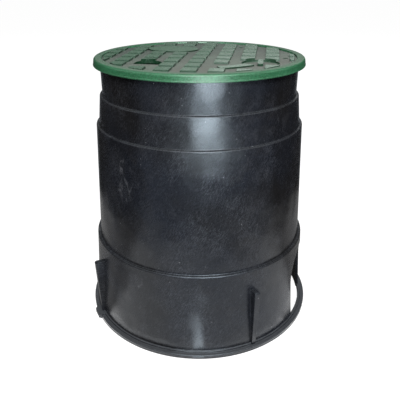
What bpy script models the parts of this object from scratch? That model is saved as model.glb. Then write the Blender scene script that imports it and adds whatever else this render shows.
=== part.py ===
"""Round inspection box for buried valves: a stepped body moulding with an open bottom, and its lid.

Metres, +Z up. The origin is on the body's axis, on the ground that the flange stands on.
The two pipe openings lie on the X axis.
"""

import math

import bmesh
import bpy
from mathutils import Matrix, Vector

MM = 0.001

# Body heights, stacked from the ground up
SKIRT_HEIGHT = 74.4 * MM
BARREL_HEIGHT = 100.3 * MM
BAND_HEIGHT = 23.6 * MM
NECK_HEIGHT = 25.0 * MM

# Body radii: the neck, then what each ledge and each flared wall adds on the way down
NECK_RADIUS = 80.2 * MM
UPPER_LEDGE = 2.3 * MM
BAND_FLARE = 2.3 * MM
MIDDLE_LEDGE = 2.3 * MM
BARREL_FLARE = 4.9 * MM
LOWER_LEDGE = 2.9 * MM
SKIRT_FLARE = 4.7 * MM
BODY_WALL = 2.4 * MM
LEDGE_ROUND = 0.8 * MM
LEDGE_FILLET = 0.5 * MM
MOUTH_CHAMFER = 0.5 * MM
FOOT_CHAMFER = 1.7 * MM
FOOT_CHAMFER_HEIGHT = 2.5 * MM

# Foot flange, with the bead at its root
FLANGE_REACH = 4.5 * MM
FLANGE_THICKNESS = 3.5 * MM
FLANGE_ROUND = 0.7 * MM
BEAD_HEIGHT = 1.2 * MM
BEAD_REACH = 1.1 * MM

# Stiffening ribs on the diagonals, thicker and standing out further at the top, and the lugs
# at the foot of two of them
RIB_COUNT = 4
RIB_FIRST_AZIMUTH = math.radians(45.0)
RIB_TOP = 57.0 * MM
RIB_FOOT_THICKNESS = 3.5 * MM
RIB_TOP_THICKNESS = 4.8 * MM
RIB_FOOT_REACH = 1.8 * MM
RIB_TOP_REACH = 3.4 * MM
RIB_ROUND = 1.0 * MM
LUG_WIDTH = 14.0 * MM
LUG_REACH = 2.0 * MM
LUG_FOOT = 0.5 * MM
LUG_TOP = 4.4 * MM

# Pipe openings, one arch on each side
ARCH_WIDTH = 52.4 * MM
ARCH_FOOT_WIDTH = 49.6 * MM
ARCH_HEIGHT = 66.0 * MM
RING_ROOT = 1.5 * MM

# Lid
SEAT_GAP = 0.3 * MM
LID_OVERHANG = 4.8 * MM
LID_PLATE = 2.3 * MM
LID_RIM_HEIGHT = 5.6 * MM
LID_RIM_FLARE = 0.3 * MM
LID_RIM_WALL = 2.4 * MM
LID_EDGE_ROUND = 2.0 * MM
LID_LIP_HEIGHT = 0.9 * MM
LID_LIP_REACH = 0.25 * MM
CENTRING_CLEARANCE = 1.2 * MM
CENTRING_DEPTH = 8.0 * MM
CENTRING_WALL = 2.2 * MM
LID_TURN = math.radians(10.0)

# The tread's floor lies below a raised border, and its pads come level with the border again
BORDER_WIDTH = 6.4 * MM
BORDER_DRAFT = 0.3 * MM
TREAD_DEPTH = 1.4 * MM

# Tread pads on the lid, in columns along its Y axis
COLUMN_PITCH = 19.0 * MM
COLUMN_OFFSET = 2.1 * MM
ROW_PITCH = 18.0 * MM
ROW_OFFSET = 7.0 * MM
PAD_WIDTH = 11.6 * MM
PAD_LENGTH = 12.8 * MM
PAD_CHAMFER = 0.6 * MM
PAD_MARGIN = 1.6 * MM
SMALLEST_PAD = 3.0 * MM

# Finger hole, straight on the side that is pulled
FINGER_WIDTH = 20.6 * MM
FINGER_LENGTH = 17.4 * MM
FINGER_CENTRE = (-33.9 * MM, -34.7 * MM)

# Lift bar in its shallow dish
DISH_RADIUS = 15.0 * MM
DISH_DEPTH = 1.3 * MM
DISH_FLOOR = 2.0 * MM
DISH_CENTRE = (50.3 * MM, -26.2 * MM)
BAR_WIDTH = 4.0 * MM
BAR_LENGTH = 19.0 * MM
BAR_RISE = 1.2 * MM

# Two small vent holes between the columns
VENT_RADIUS = 1.9 * MM
VENT_CENTRES = ((69.3 * MM, -1.5 * MM), (30.6 * MM, 54.0 * MM))

# Plain raised panels: an oval, and an arc beside the lift bar
PANEL_HEIGHT = 1.0 * MM
PANEL_CHAMFER = 0.6 * MM
OVAL_CENTRE = (-27.5 * MM, 32.5 * MM)
OVAL_WIDTH = 44.0 * MM
OVAL_LENGTH = 32.0 * MM
ARC_RADIUS = 57.0 * MM
ARC_WIDTH = 8.0 * MM
ARC_START = math.radians(-68.0)
ARC_END = math.radians(-37.0)
PANEL_CLEARANCE = 4.5 * MM

# Ribs under the lid, full diameters that cross at its centre
LID_RIB_COUNT = 4
LID_RIB_FIRST_AZIMUTH = math.radians(28.0)
LID_RIB_DEPTH = 6.0 * MM
LID_RIB_THICKNESS = 2.0 * MM

# How finely curves are divided, and how far joined shapes sink into each other
ROUND_STEPS = 72
SMALL_ROUND_STEPS = 24
EDGE_STEPS = 4
OVERLAP = 0.8 * MM
CUT_MARGIN = 2.0 * MM
WELD = 0.01 * MM
FLAT_ANGLE = math.radians(0.2)
SHARP_ANGLE = math.radians(32.0)

# Places that follow from the sizes above
BARREL_TOP_Z = SKIRT_HEIGHT + BARREL_HEIGHT
BAND_TOP_Z = BARREL_TOP_Z + BAND_HEIGHT
NECK_TOP_Z = BAND_TOP_Z + NECK_HEIGHT
BAND_TOP_RADIUS = NECK_RADIUS + UPPER_LEDGE
BAND_FOOT_RADIUS = BAND_TOP_RADIUS + BAND_FLARE
BARREL_TOP_RADIUS = BAND_FOOT_RADIUS + MIDDLE_LEDGE
BARREL_FOOT_RADIUS = BARREL_TOP_RADIUS + BARREL_FLARE
SKIRT_TOP_RADIUS = BARREL_FOOT_RADIUS + LOWER_LEDGE
SKIRT_FOOT_RADIUS = SKIRT_TOP_RADIUS + SKIRT_FLARE
FLANGE_RADIUS = SKIRT_FOOT_RADIUS + FLANGE_REACH
BEAD_TOP = FLANGE_THICKNESS + BEAD_HEIGHT
MOUTH_RADIUS = NECK_RADIUS - BODY_WALL
LID_RADIUS = NECK_RADIUS + LID_OVERHANG
FLOOR_RADIUS = LID_RADIUS - BORDER_WIDTH
PAD_LIMIT_RADIUS = FLOOR_RADIUS - PAD_MARGIN
FLOOR_TOP = SEAT_GAP + LID_PLATE
LID_TOP = FLOOR_TOP + TREAD_DEPTH
ARCH_SPRING = ARCH_HEIGHT - ARCH_WIDTH / 2


def clear_scene():
    for obj in list(bpy.data.objects):
        bpy.data.objects.remove(obj, do_unlink=True)


def new_collection(name):
    collection = bpy.data.collections.new(name)
    bpy.context.scene.collection.children.link(collection)
    return collection


def plastic(name, colour, roughness):
    material = bpy.data.materials.new(name)
    material.use_nodes = True
    shader = material.node_tree.nodes["Principled BSDF"]
    shader.inputs["Base Color"].default_value = (*colour, 1.0)
    shader.inputs["Roughness"].default_value = roughness
    shader.inputs["Metallic"].default_value = 0.0
    return material


def arc(centre, radius, start, end, steps):
    """Points on an arc, both ends included."""
    angles = [start + (end - start) * i / steps for i in range(steps + 1)]
    return [(centre[0] + radius * math.cos(a), centre[1] + radius * math.sin(a)) for a in angles]


def link_mesh(name, mesh, collection):
    obj = bpy.data.objects.new(name, mesh)
    collection.objects.link(obj)
    return obj


def as_tool(obj):
    """Marks a shape that only cuts or joins another one."""
    obj.hide_render = True
    obj.display_type = "WIRE"
    return obj


def turned(name, profile, closed, collection):
    """A profile of (radius, height) points turned about Z, top to bottom down its outer side."""
    points = [(radius, 0.0, height) for radius, height in profile]
    edges = [(i, i + 1) for i in range(len(points) - 1)]
    if closed:
        edges.append((len(points) - 1, 0))
    mesh = bpy.data.meshes.new(name)
    mesh.from_pydata(points, edges, [])
    obj = link_mesh(name, mesh, collection)
    screw = obj.modifiers.new("turn", "SCREW")
    screw.axis = "Z"
    screw.angle = math.tau
    screw.steps = ROUND_STEPS
    screw.render_steps = ROUND_STEPS
    screw.use_merge_vertices = True
    screw.merge_threshold = WELD
    return obj


def extruded(name, outline, thickness, matrix, collection):
    """A closed flat outline with a thickness centred on its plane, placed by a matrix."""
    curve = bpy.data.curves.new(name, "CURVE")
    curve.dimensions = "2D"
    curve.fill_mode = "BOTH"
    curve.extrude = thickness / 2
    spline = curve.splines.new("POLY")
    spline.points.add(len(outline) - 1)
    for point, (x, y) in zip(spline.points, outline):
        point.co = (x, y, 0.0, 1.0)
    spline.use_cyclic_u = True
    drawn = link_mesh(name, curve, collection)
    graph = bpy.context.evaluated_depsgraph_get()
    mesh = bpy.data.meshes.new_from_object(drawn.evaluated_get(graph))
    bpy.data.objects.remove(drawn, do_unlink=True)
    shape = bmesh.new()
    shape.from_mesh(mesh)
    bmesh.ops.remove_doubles(shape, verts=shape.verts, dist=WELD)
    bmesh.ops.dissolve_limit(shape, angle_limit=FLAT_ANGLE, verts=shape.verts, edges=shape.edges)
    bmesh.ops.recalc_face_normals(shape, faces=shape.faces)
    shape.to_mesh(mesh)
    shape.free()
    mesh.transform(matrix)
    mesh.name = name
    return as_tool(link_mesh(name, mesh, collection))


def block(name, low, high, matrix, collection):
    """A box between two corners, placed by a matrix."""
    low = Vector(low)
    high = Vector(high)
    shape = bmesh.new()
    bmesh.ops.create_cube(shape, size=1.0)
    bmesh.ops.scale(shape, vec=high - low, verts=shape.verts)
    bmesh.ops.translate(shape, vec=(low + high) / 2, verts=shape.verts)
    bmesh.ops.transform(shape, matrix=matrix, verts=shape.verts)
    mesh = bpy.data.meshes.new(name)
    shape.to_mesh(mesh)
    shape.free()
    return as_tool(link_mesh(name, mesh, collection))


def disc(name, centre, radii, bottom, top, steps, collection, stretch=1.0):
    """A cylinder or cone from its foot radius to its top radius, stretched along Y into an oval."""
    shape = bmesh.new()
    bmesh.ops.create_cone(
        shape, cap_ends=True, segments=steps, radius1=radii[0], radius2=radii[1], depth=top - bottom
    )
    bmesh.ops.scale(shape, vec=(1.0, stretch, 1.0), verts=shape.verts)
    bmesh.ops.translate(shape, vec=(centre[0], centre[1], (bottom + top) / 2), verts=shape.verts)
    mesh = bpy.data.meshes.new(name)
    shape.to_mesh(mesh)
    shape.free()
    return as_tool(link_mesh(name, mesh, collection))


def combine(obj, operation, tool):
    boolean = obj.modifiers.new(tool.name, "BOOLEAN")
    boolean.operation = operation
    boolean.object = tool


def merge_flat_faces(obj):
    """Makes each flat area one face, so that what joins it leaves few triangles."""
    merge = obj.modifiers.new("flat areas", "DECIMATE")
    merge.decimate_type = "DISSOLVE"
    merge.angle_limit = FLAT_ANGLE


def finish_part(obj, material):
    """Applies the modifiers, and shades round faces smooth and edges sharp."""
    graph = bpy.context.evaluated_depsgraph_get()
    mesh = bpy.data.meshes.new_from_object(obj.evaluated_get(graph))
    obj.modifiers.clear()
    obj.data = mesh
    mesh.name = obj.name
    mesh.materials.clear()
    mesh.materials.append(material)
    mesh.shade_smooth()
    mesh.set_sharp_from_angle(angle=SHARP_ANGLE)


def ledge(inner_radius, outer_radius, height):
    """Outer points where one wall steps out to the next: a fillet, the ledge and its rounded edge."""
    return [
        (inner_radius, height + LEDGE_FILLET),
        (inner_radius + LEDGE_FILLET, height),
        (outer_radius - LEDGE_ROUND, height),
        (outer_radius - LEDGE_ROUND * 0.3, height - LEDGE_ROUND * 0.3),
        (outer_radius, height - LEDGE_ROUND),
    ]


def skirt_radius(height):
    """Outer radius of the flared skirt at a height above the ground."""
    return SKIRT_FOOT_RADIUS - SKIRT_FLARE * height / SKIRT_HEIGHT


def shell_profile():
    """The body's section: down the outside to the foot flange, then up the inside."""
    bead_edge = SKIRT_FOOT_RADIUS + BEAD_REACH
    outside = [(NECK_RADIUS - MOUTH_CHAMFER, NECK_TOP_Z), (NECK_RADIUS, NECK_TOP_Z - MOUTH_CHAMFER)]
    outside += ledge(NECK_RADIUS, BAND_TOP_RADIUS, BAND_TOP_Z)
    outside += ledge(BAND_FOOT_RADIUS, BARREL_TOP_RADIUS, BARREL_TOP_Z)
    outside += ledge(BARREL_FOOT_RADIUS, SKIRT_TOP_RADIUS, SKIRT_HEIGHT)
    outside += [
        (skirt_radius(BEAD_TOP), BEAD_TOP),
        (bead_edge - BEAD_HEIGHT / 2, BEAD_TOP),
        (bead_edge, BEAD_TOP - BEAD_HEIGHT / 2),
        (bead_edge, FLANGE_THICKNESS),
        (FLANGE_RADIUS - FLANGE_ROUND, FLANGE_THICKNESS),
        (FLANGE_RADIUS, FLANGE_THICKNESS - FLANGE_ROUND),
        (FLANGE_RADIUS, 0.0),
    ]
    inside = [
        (SKIRT_FOOT_RADIUS + FOOT_CHAMFER - BODY_WALL, 0.0),
        (skirt_radius(FOOT_CHAMFER_HEIGHT) - BODY_WALL, FOOT_CHAMFER_HEIGHT),
        (SKIRT_TOP_RADIUS - BODY_WALL, SKIRT_HEIGHT - BODY_WALL),
        (BARREL_FOOT_RADIUS - BODY_WALL, SKIRT_HEIGHT - BODY_WALL + LEDGE_FILLET),
        (BARREL_TOP_RADIUS - BODY_WALL, BARREL_TOP_Z - BODY_WALL),
        (BAND_FOOT_RADIUS - BODY_WALL, BARREL_TOP_Z - BODY_WALL + LEDGE_FILLET),
        (BAND_TOP_RADIUS - BODY_WALL, BAND_TOP_Z - BODY_WALL),
        (MOUTH_RADIUS, BAND_TOP_Z - BODY_WALL + LEDGE_FILLET),
        (MOUTH_RADIUS, NECK_TOP_Z),
    ]
    return outside + inside


def rib_outline():
    """A rib seen from its side, as (radius, height), with its root sunk in the wall."""
    foot = FLANGE_THICKNESS / 2
    outer_foot = SKIRT_FOOT_RADIUS + RIB_FOOT_REACH
    outer_top = SKIRT_FOOT_RADIUS + RIB_TOP_REACH
    sink = BODY_WALL / 2
    return [
        (skirt_radius(foot) - sink, foot),
        (outer_foot, foot),
        (outer_top, RIB_TOP - RIB_ROUND),
        (outer_top - RIB_ROUND, RIB_TOP),
        (skirt_radius(RIB_TOP) - sink, RIB_TOP),
    ]


def make_rib(name, azimuth, collection):
    """A rib between two flat sides that come closer together toward its foot."""
    shape = bmesh.new()
    sides = []
    for side in (-0.5, 0.5):
        corners = []
        for radius, height in rib_outline():
            thickness = RIB_FOOT_THICKNESS + (RIB_TOP_THICKNESS - RIB_FOOT_THICKNESS) * height / RIB_TOP
            corners.append(shape.verts.new((radius, side * thickness, height)))
        sides.append(corners)
        shape.faces.new(corners)
    for i in range(len(sides[0])):
        j = i - 1
        shape.faces.new((sides[0][i], sides[0][j], sides[1][j], sides[1][i]))
    bmesh.ops.recalc_face_normals(shape, faces=shape.faces)
    bmesh.ops.transform(shape, matrix=Matrix.Rotation(azimuth, 4, "Z"), verts=shape.verts)
    mesh = bpy.data.meshes.new(name)
    shape.to_mesh(mesh)
    shape.free()
    return as_tool(link_mesh(name, mesh, collection))


def arch_outline():
    """A pipe opening seen along X, as (across, height): sides that lean in toward the foot, a round top."""
    radius = ARCH_WIDTH / 2
    foot = ARCH_FOOT_WIDTH / 2
    top = arc((0.0, ARCH_SPRING), radius, 0.0, math.pi, SMALL_ROUND_STEPS)
    return [(-foot, 0.0), (-foot, -CUT_MARGIN), (foot, -CUT_MARGIN), (foot, 0.0)] + top


def opening_limit_profile():
    """How far out the pipe openings are cut: only inside the foot ring, and right through above it."""
    ring_inner = SKIRT_FOOT_RADIUS - RING_ROOT
    beyond = FLANGE_RADIUS + CUT_MARGIN
    top = ARCH_HEIGHT + CUT_MARGIN
    foot = -2 * CUT_MARGIN
    return [(0.0, top), (beyond, top), (beyond, BEAD_TOP), (ring_inner, BEAD_TOP), (ring_inner, foot), (0.0, foot)]


def upright_outline(azimuth):
    """Turns an outline drawn in XY into an upright one that faces out along an azimuth."""
    return Matrix.Rotation(azimuth, 4, "Z") @ Matrix.Rotation(math.radians(90.0), 4, "X")


def make_pipe_openings(cutters):
    openings = extruded(
        "pipe_openings",
        arch_outline(),
        2 * FLANGE_RADIUS + 4 * CUT_MARGIN,
        upright_outline(math.radians(90.0)),
        cutters,
    )
    limit = as_tool(turned("opening_limit", opening_limit_profile(), False, cutters))
    combine(openings, "INTERSECT", limit)
    return openings


def make_lug(name, azimuth, cutters):
    """A flat plate on the flange's edge, its outer corners cut off."""
    inner = SKIRT_FOOT_RADIUS - BODY_WALL / 2
    outer = FLANGE_RADIUS + LUG_REACH
    half = LUG_WIDTH / 2
    outline = [
        (inner, -half),
        (FLANGE_RADIUS, -half),
        (outer, LUG_REACH - half),
        (outer, half - LUG_REACH),
        (FLANGE_RADIUS, half),
        (inner, half),
    ]
    lift = Matrix.Translation((0.0, 0.0, (LUG_FOOT + LUG_TOP) / 2))
    return extruded(name, outline, LUG_TOP - LUG_FOOT, Matrix.Rotation(azimuth, 4, "Z") @ lift, cutters)


def make_body(parts, cutters):
    body = turned("box_body", shell_profile(), True, parts)
    combine(body, "DIFFERENCE", make_pipe_openings(cutters))
    for i in range(RIB_COUNT):
        azimuth = RIB_FIRST_AZIMUTH + math.tau * i / RIB_COUNT
        combine(body, "UNION", make_rib(f"rib_{i}", azimuth, cutters))
        if i % 2 == 0:
            combine(body, "UNION", make_lug(f"lug_{i}", azimuth, cutters))
    return body


def lid_profile():
    """Half the lid's section: the tread's floor, up over the border, down the rim, then the underside."""
    rim_foot = LID_TOP - LID_RIM_HEIGHT
    rim_outer = LID_RADIUS + LID_RIM_FLARE
    rim_inner = LID_RADIUS - LID_RIM_WALL
    ring_outer = MOUTH_RADIUS - CENTRING_CLEARANCE
    ring_inner = ring_outer - CENTRING_WALL
    ring_foot = -CENTRING_DEPTH
    round_centre = (LID_RADIUS - LID_EDGE_ROUND, LID_TOP - LID_EDGE_ROUND)
    border = [(0.0, FLOOR_TOP), (FLOOR_RADIUS - BORDER_DRAFT, FLOOR_TOP), (FLOOR_RADIUS, LID_TOP)]
    return border + arc(round_centre, LID_EDGE_ROUND, math.pi / 2, 0.0, EDGE_STEPS) + [
        (rim_outer, rim_foot + LID_LIP_HEIGHT + LID_LIP_REACH),
        (rim_outer + LID_LIP_REACH, rim_foot + LID_LIP_HEIGHT),
        (rim_outer + LID_LIP_REACH, rim_foot),
        (rim_inner, rim_foot),
        (rim_inner, SEAT_GAP),
        (ring_outer, SEAT_GAP),
        (ring_outer - MOUTH_CHAMFER, ring_foot),
        (ring_inner, ring_foot),
        (ring_inner, SEAT_GAP),
        (0.0, SEAT_GAP),
    ]


def finger_outline():
    """The finger hole: a straight near side, parallel sides and a round far end."""
    x, y = FINGER_CENTRE
    radius = FINGER_WIDTH / 2
    near = y - FINGER_LENGTH / 2
    far_centre = (x, y + FINGER_LENGTH / 2 - radius)
    return [(x - radius, near), (x + radius, near)] + arc(
        far_centre, radius, 0.0, math.pi, SMALL_ROUND_STEPS // 2
    )


def pad_is_clear(x, y):
    """Whether the tread has a pad here: none stands in the finger hole, the dish or a panel."""
    finger_x, finger_y = FINGER_CENTRE
    near = finger_y - (FINGER_LENGTH + PAD_LENGTH) / 2
    far = finger_y + (FINGER_LENGTH - PAD_LENGTH) / 2
    if abs(x - finger_x) < FINGER_WIDTH / 2 and near < y < far:
        return False
    if math.hypot(x - DISH_CENTRE[0], y - DISH_CENTRE[1]) < DISH_RADIUS:
        return False
    oval_x = (x - OVAL_CENTRE[0]) / (OVAL_WIDTH / 2 + PANEL_CLEARANCE)
    oval_y = (y - OVAL_CENTRE[1]) / (OVAL_LENGTH / 2 + PANEL_CLEARANCE)
    if math.hypot(oval_x, oval_y) < 1.0:
        return False
    radius = math.hypot(x, y)
    off_arc = abs(radius - ARC_RADIUS) - ARC_WIDTH / 2
    spread = PANEL_CLEARANCE / ARC_RADIUS
    beside_arc = ARC_START - spread < math.atan2(y, x) < ARC_END + spread
    return not (beside_arc and off_arc < PANEL_CLEARANCE)


def pad_centres():
    """Centres of the tread pads that have a useful share inside the border."""
    columns = math.ceil(PAD_LIMIT_RADIUS / COLUMN_PITCH) + 1
    rows = math.ceil(PAD_LIMIT_RADIUS / ROW_PITCH) + 1
    centres = []
    for column in range(-columns, columns + 1):
        x = COLUMN_OFFSET + column * COLUMN_PITCH
        for row in range(-rows, rows + 1):
            y = ROW_OFFSET + row * ROW_PITCH
            near_x = max(abs(x) - PAD_WIDTH / 2 + SMALLEST_PAD, 0.0)
            near_y = max(abs(y) - PAD_LENGTH / 2 + SMALLEST_PAD, 0.0)
            if math.hypot(near_x, near_y) < PAD_LIMIT_RADIUS and pad_is_clear(x, y):
                centres.append((x, y))
    return centres


def make_tread(collection):
    """All the tread pads as one tool, clipped to a circle inside the border."""
    shape = bmesh.new()
    foot = FLOOR_TOP - OVERLAP
    height = TREAD_DEPTH + OVERLAP
    for x, y in pad_centres():
        made = bmesh.ops.create_cube(shape, size=1.0)["verts"]
        bmesh.ops.scale(shape, vec=(PAD_WIDTH, PAD_LENGTH, height), verts=made)
        top = [vert for vert in made if vert.co.z > 0.0]
        shrink = (1.0 - 2 * PAD_CHAMFER / PAD_WIDTH, 1.0 - 2 * PAD_CHAMFER / PAD_LENGTH, 1.0)
        bmesh.ops.scale(shape, vec=shrink, verts=top)
        bmesh.ops.translate(shape, vec=(x, y, foot + height / 2), verts=made)
    mesh = bpy.data.meshes.new("tread_pads")
    shape.to_mesh(mesh)
    shape.free()
    pads = as_tool(link_mesh("tread_pads", mesh, collection))
    limit = disc(
        "tread_limit",
        (0.0, 0.0),
        (PAD_LIMIT_RADIUS, PAD_LIMIT_RADIUS),
        foot - CUT_MARGIN,
        LID_TOP + CUT_MARGIN,
        ROUND_STEPS,
        collection,
    )
    combine(pads, "INTERSECT", limit)
    return pads


def arc_panel_outline():
    """The arc panel seen from above: an outer arc and the inner arc back."""
    outer = arc((0.0, 0.0), ARC_RADIUS + ARC_WIDTH / 2, ARC_START, ARC_END, SMALL_ROUND_STEPS // 2)
    inner = arc((0.0, 0.0), ARC_RADIUS - ARC_WIDTH / 2, ARC_END, ARC_START, SMALL_ROUND_STEPS // 2)
    return outer + inner


def add_panels(lid, collection):
    foot = FLOOR_TOP - OVERLAP
    half_width = OVAL_WIDTH / 2
    oval = disc(
        "oval_panel",
        OVAL_CENTRE,
        (half_width, half_width - PANEL_CHAMFER),
        foot,
        FLOOR_TOP + PANEL_HEIGHT,
        2 * SMALL_ROUND_STEPS,
        collection,
        stretch=OVAL_LENGTH / OVAL_WIDTH,
    )
    combine(lid, "UNION", oval)
    thickness = PANEL_HEIGHT + OVERLAP
    place = Matrix.Translation((0.0, 0.0, foot + thickness / 2))
    combine(lid, "UNION", extruded("arc_panel", arc_panel_outline(), thickness, place, collection))


def add_lid_ribs(lid, collection):
    ring_inner = MOUTH_RADIUS - CENTRING_CLEARANCE - CENTRING_WALL
    reach = ring_inner + CENTRING_WALL / 2
    half = LID_RIB_THICKNESS / 2
    for i in range(LID_RIB_COUNT):
        azimuth = LID_RIB_FIRST_AZIMUTH + math.pi * i / LID_RIB_COUNT
        rib = block(
            f"lid_rib_{i}",
            (-reach, -half, SEAT_GAP - LID_RIB_DEPTH),
            (reach, half, SEAT_GAP + OVERLAP),
            Matrix.Rotation(azimuth, 4, "Z"),
            collection,
        )
        combine(lid, "UNION", rib)


def add_lift_dish(lid, collection):
    """The dish under the lift bar: a thicker floor below, the dish cut from above, then the bar."""
    floor_top = FLOOR_TOP - DISH_DEPTH
    pan_radius = DISH_RADIUS + DISH_FLOOR
    pan = disc(
        "dish_pan",
        DISH_CENTRE,
        (pan_radius, pan_radius),
        floor_top - DISH_FLOOR,
        SEAT_GAP + OVERLAP,
        2 * SMALL_ROUND_STEPS,
        collection,
    )
    combine(lid, "UNION", pan)
    dish = disc(
        "dish",
        DISH_CENTRE,
        (DISH_RADIUS - DISH_DEPTH / 2, DISH_RADIUS),
        floor_top,
        LID_TOP + CUT_MARGIN,
        2 * SMALL_ROUND_STEPS,
        collection,
    )
    combine(lid, "DIFFERENCE", dish)
    x, y = DISH_CENTRE
    bar = block(
        "lift_bar",
        (x - BAR_WIDTH / 2, y - BAR_LENGTH / 2, floor_top - OVERLAP),
        (x + BAR_WIDTH / 2, y + BAR_LENGTH / 2, FLOOR_TOP + BAR_RISE),
        Matrix.Identity(4),
        collection,
    )
    combine(lid, "UNION", bar)


def make_lid(parts, cutters):
    lid = turned("lid", lid_profile(), False, parts)
    merge_flat_faces(lid)
    combine(lid, "UNION", make_tread(cutters))
    add_panels(lid, cutters)
    add_lid_ribs(lid, cutters)
    add_lift_dish(lid, cutters)
    through = CENTRING_DEPTH + LID_TOP + 2 * CUT_MARGIN
    middle = Matrix.Translation((0.0, 0.0, LID_TOP + CUT_MARGIN - through / 2))
    combine(lid, "DIFFERENCE", extruded("finger_hole", finger_outline(), through, middle, cutters))
    for i, centre in enumerate(VENT_CENTRES):
        vent = disc(
            f"vent_{i}",
            centre,
            (VENT_RADIUS, VENT_RADIUS),
            SEAT_GAP - LID_RIB_DEPTH - CUT_MARGIN,
            LID_TOP + CUT_MARGIN,
            SMALL_ROUND_STEPS // 2,
            cutters,
        )
        combine(lid, "DIFFERENCE", vent)
    return lid


def main():
    clear_scene()
    parts = new_collection("inspection_box")
    cutters = new_collection("cutters")
    black_plastic = plastic("black_polyethylene", (0.020, 0.021, 0.025), 0.42)
    green_plastic = plastic("green_polyethylene", (0.055, 0.205, 0.105), 0.48)
    finish_part(make_body(parts, cutters), black_plastic)
    lid = make_lid(parts, cutters)
    finish_part(lid, green_plastic)
    lid.location = (0.0, 0.0, NECK_TOP_Z)
    lid.rotation_euler = (0.0, 0.0, LID_TURN)


main()
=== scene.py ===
import math

import bmesh
import bpy
from mathutils import Matrix, Vector


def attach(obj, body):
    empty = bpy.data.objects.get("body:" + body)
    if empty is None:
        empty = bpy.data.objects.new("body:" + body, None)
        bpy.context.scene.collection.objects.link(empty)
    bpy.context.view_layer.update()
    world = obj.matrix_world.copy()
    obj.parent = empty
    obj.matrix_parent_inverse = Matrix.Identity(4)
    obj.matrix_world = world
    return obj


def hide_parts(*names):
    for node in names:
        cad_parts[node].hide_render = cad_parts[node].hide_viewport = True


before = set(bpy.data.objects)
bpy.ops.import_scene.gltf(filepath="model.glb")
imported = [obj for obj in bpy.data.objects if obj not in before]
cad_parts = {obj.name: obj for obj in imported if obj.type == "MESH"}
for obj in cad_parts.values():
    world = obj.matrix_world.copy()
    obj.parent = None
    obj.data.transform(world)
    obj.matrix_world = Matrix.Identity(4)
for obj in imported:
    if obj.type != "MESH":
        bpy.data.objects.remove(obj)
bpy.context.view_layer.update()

# Sizes are in millimetres, and link() turns them into metres
MM = 0.001

# Body section, as in the CAD part: heights of the ledges and outer radii of the walls
SKIRT_TOP_Z = 74.4
BARREL_TOP_Z = 174.7
BAND_TOP_Z = 198.3
NECK_TOP_Z = 223.3
NECK_R = 80.2
BAND_TOP_R = 82.5
BAND_FOOT_R = 84.8
BARREL_TOP_R = 87.1
BARREL_FOOT_R = 92.0
SKIRT_TOP_R = 94.9
SKIRT_FOOT_R = 99.6
FLANGE_R = 104.1
FLANGE_TOP = 3.5
BEAD_R = 100.7
BEAD_TOP = 4.7
WALL = 2.4
FOOT_CHAMFER, FOOT_CHAMFER_TOP = 0.7, 2.5

# Roundings of that section: hollow corners have fillets, and edges have rounds
MOUTH_ROUND = 0.6
LEDGE_FILLET, LEDGE_ROUND = 0.6, 1.1
INSIDE_FILLET, INSIDE_ROUND = 0.8, 0.5
BEAD_FILLET, BEAD_ROUND = 0.35, 0.55
FLANGE_FILLET, FLANGE_ROUND, FLANGE_FOOT_ROUND = 0.3, 0.7, 0.35

# Ribs, lugs and pipe openings
RIB_FOOT_R, RIB_TOP_R = 101.4, 103.0
RIB_TOP = 57.0
RIB_FOOT_THICKNESS, RIB_TOP_THICKNESS = 3.5, 4.8
RIB_CHAMFER, RIB_ROUND = 1.0, 0.5
RIB_AZIMUTHS = (45.0, 135.0, 225.0, 315.0)
LUG_AZIMUTHS = (45.0, 225.0)
LUG_WIDTH, LUG_REACH = 14.0, 2.0
LUG_FOOT, LUG_TOP, LUG_ROUND = 0.5, 4.4, 0.4
ARCH_WIDTH, ARCH_FOOT_WIDTH, ARCH_HEIGHT = 52.4, 49.6, 66.0
RING_INNER_R = 98.1

# How far the cutting shapes reach, past what they cut
CUT_R, CUT_TOP, CUT_FOOT, ARCH_FOOT = 115.0, 80.0, -8.0, -6.0
LID_CUT_FOOT, LID_CUT_TOP, DISH_CUT_TOP = -15.0, 10.0, 6.0

# Lid, in its own frame: its columns run along Y, and Z is 0 at the neck's rim
LID_TURN = math.radians(10.0)
LID_R = 85.0
LID_TOP = 4.0
LID_EDGE_ROUND = 2.0
RIM_FOOT, RIM_FLARE, RIM_WALL = -1.6, 0.3, 2.4
LIP_REACH, LIP_TOP, LIP_ROUND = 0.25, 1.25, 0.35
LIP_CREST, LIP_CREST_ROUND = 0.7, 0.3
FLOOR_TOP, FLOOR_R, FLOOR_RING_R = 2.6, 78.6, 40.0
BORDER_SLANT, BORDER_FILLET, BORDER_ROUND = 0.6, 0.3, 0.35
PLATE_FOOT, PLATE_FILLET, PLATE_INNER_FILLET = 0.3, 0.5, 0.6
CENTRING_GAP, CENTRING_WALL, CENTRING_FOOT = 1.2, 2.2, -8.0
CENTRING_TAPER, CENTRING_CHAMFER, CENTRING_INNER_CHAMFER = 0.4, 0.4, 0.3

# Tread pads in columns, cut off at a circle
TREAD_R = 77.0
PAD_NUMBERS = range(-6, 7)
COLUMN_PITCH, COLUMN_OFFSET = 19.0, 2.1
ROW_PITCH, ROW_OFFSET = 18.0, 7.0
PAD_WIDTH, PAD_LENGTH = 11.6, 12.8
PAD_SLOPE, PAD_ROUND = 0.45, 0.35
SMALLEST_PAD = 3.0
PAD_SIDE_STEPS = 24

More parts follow.
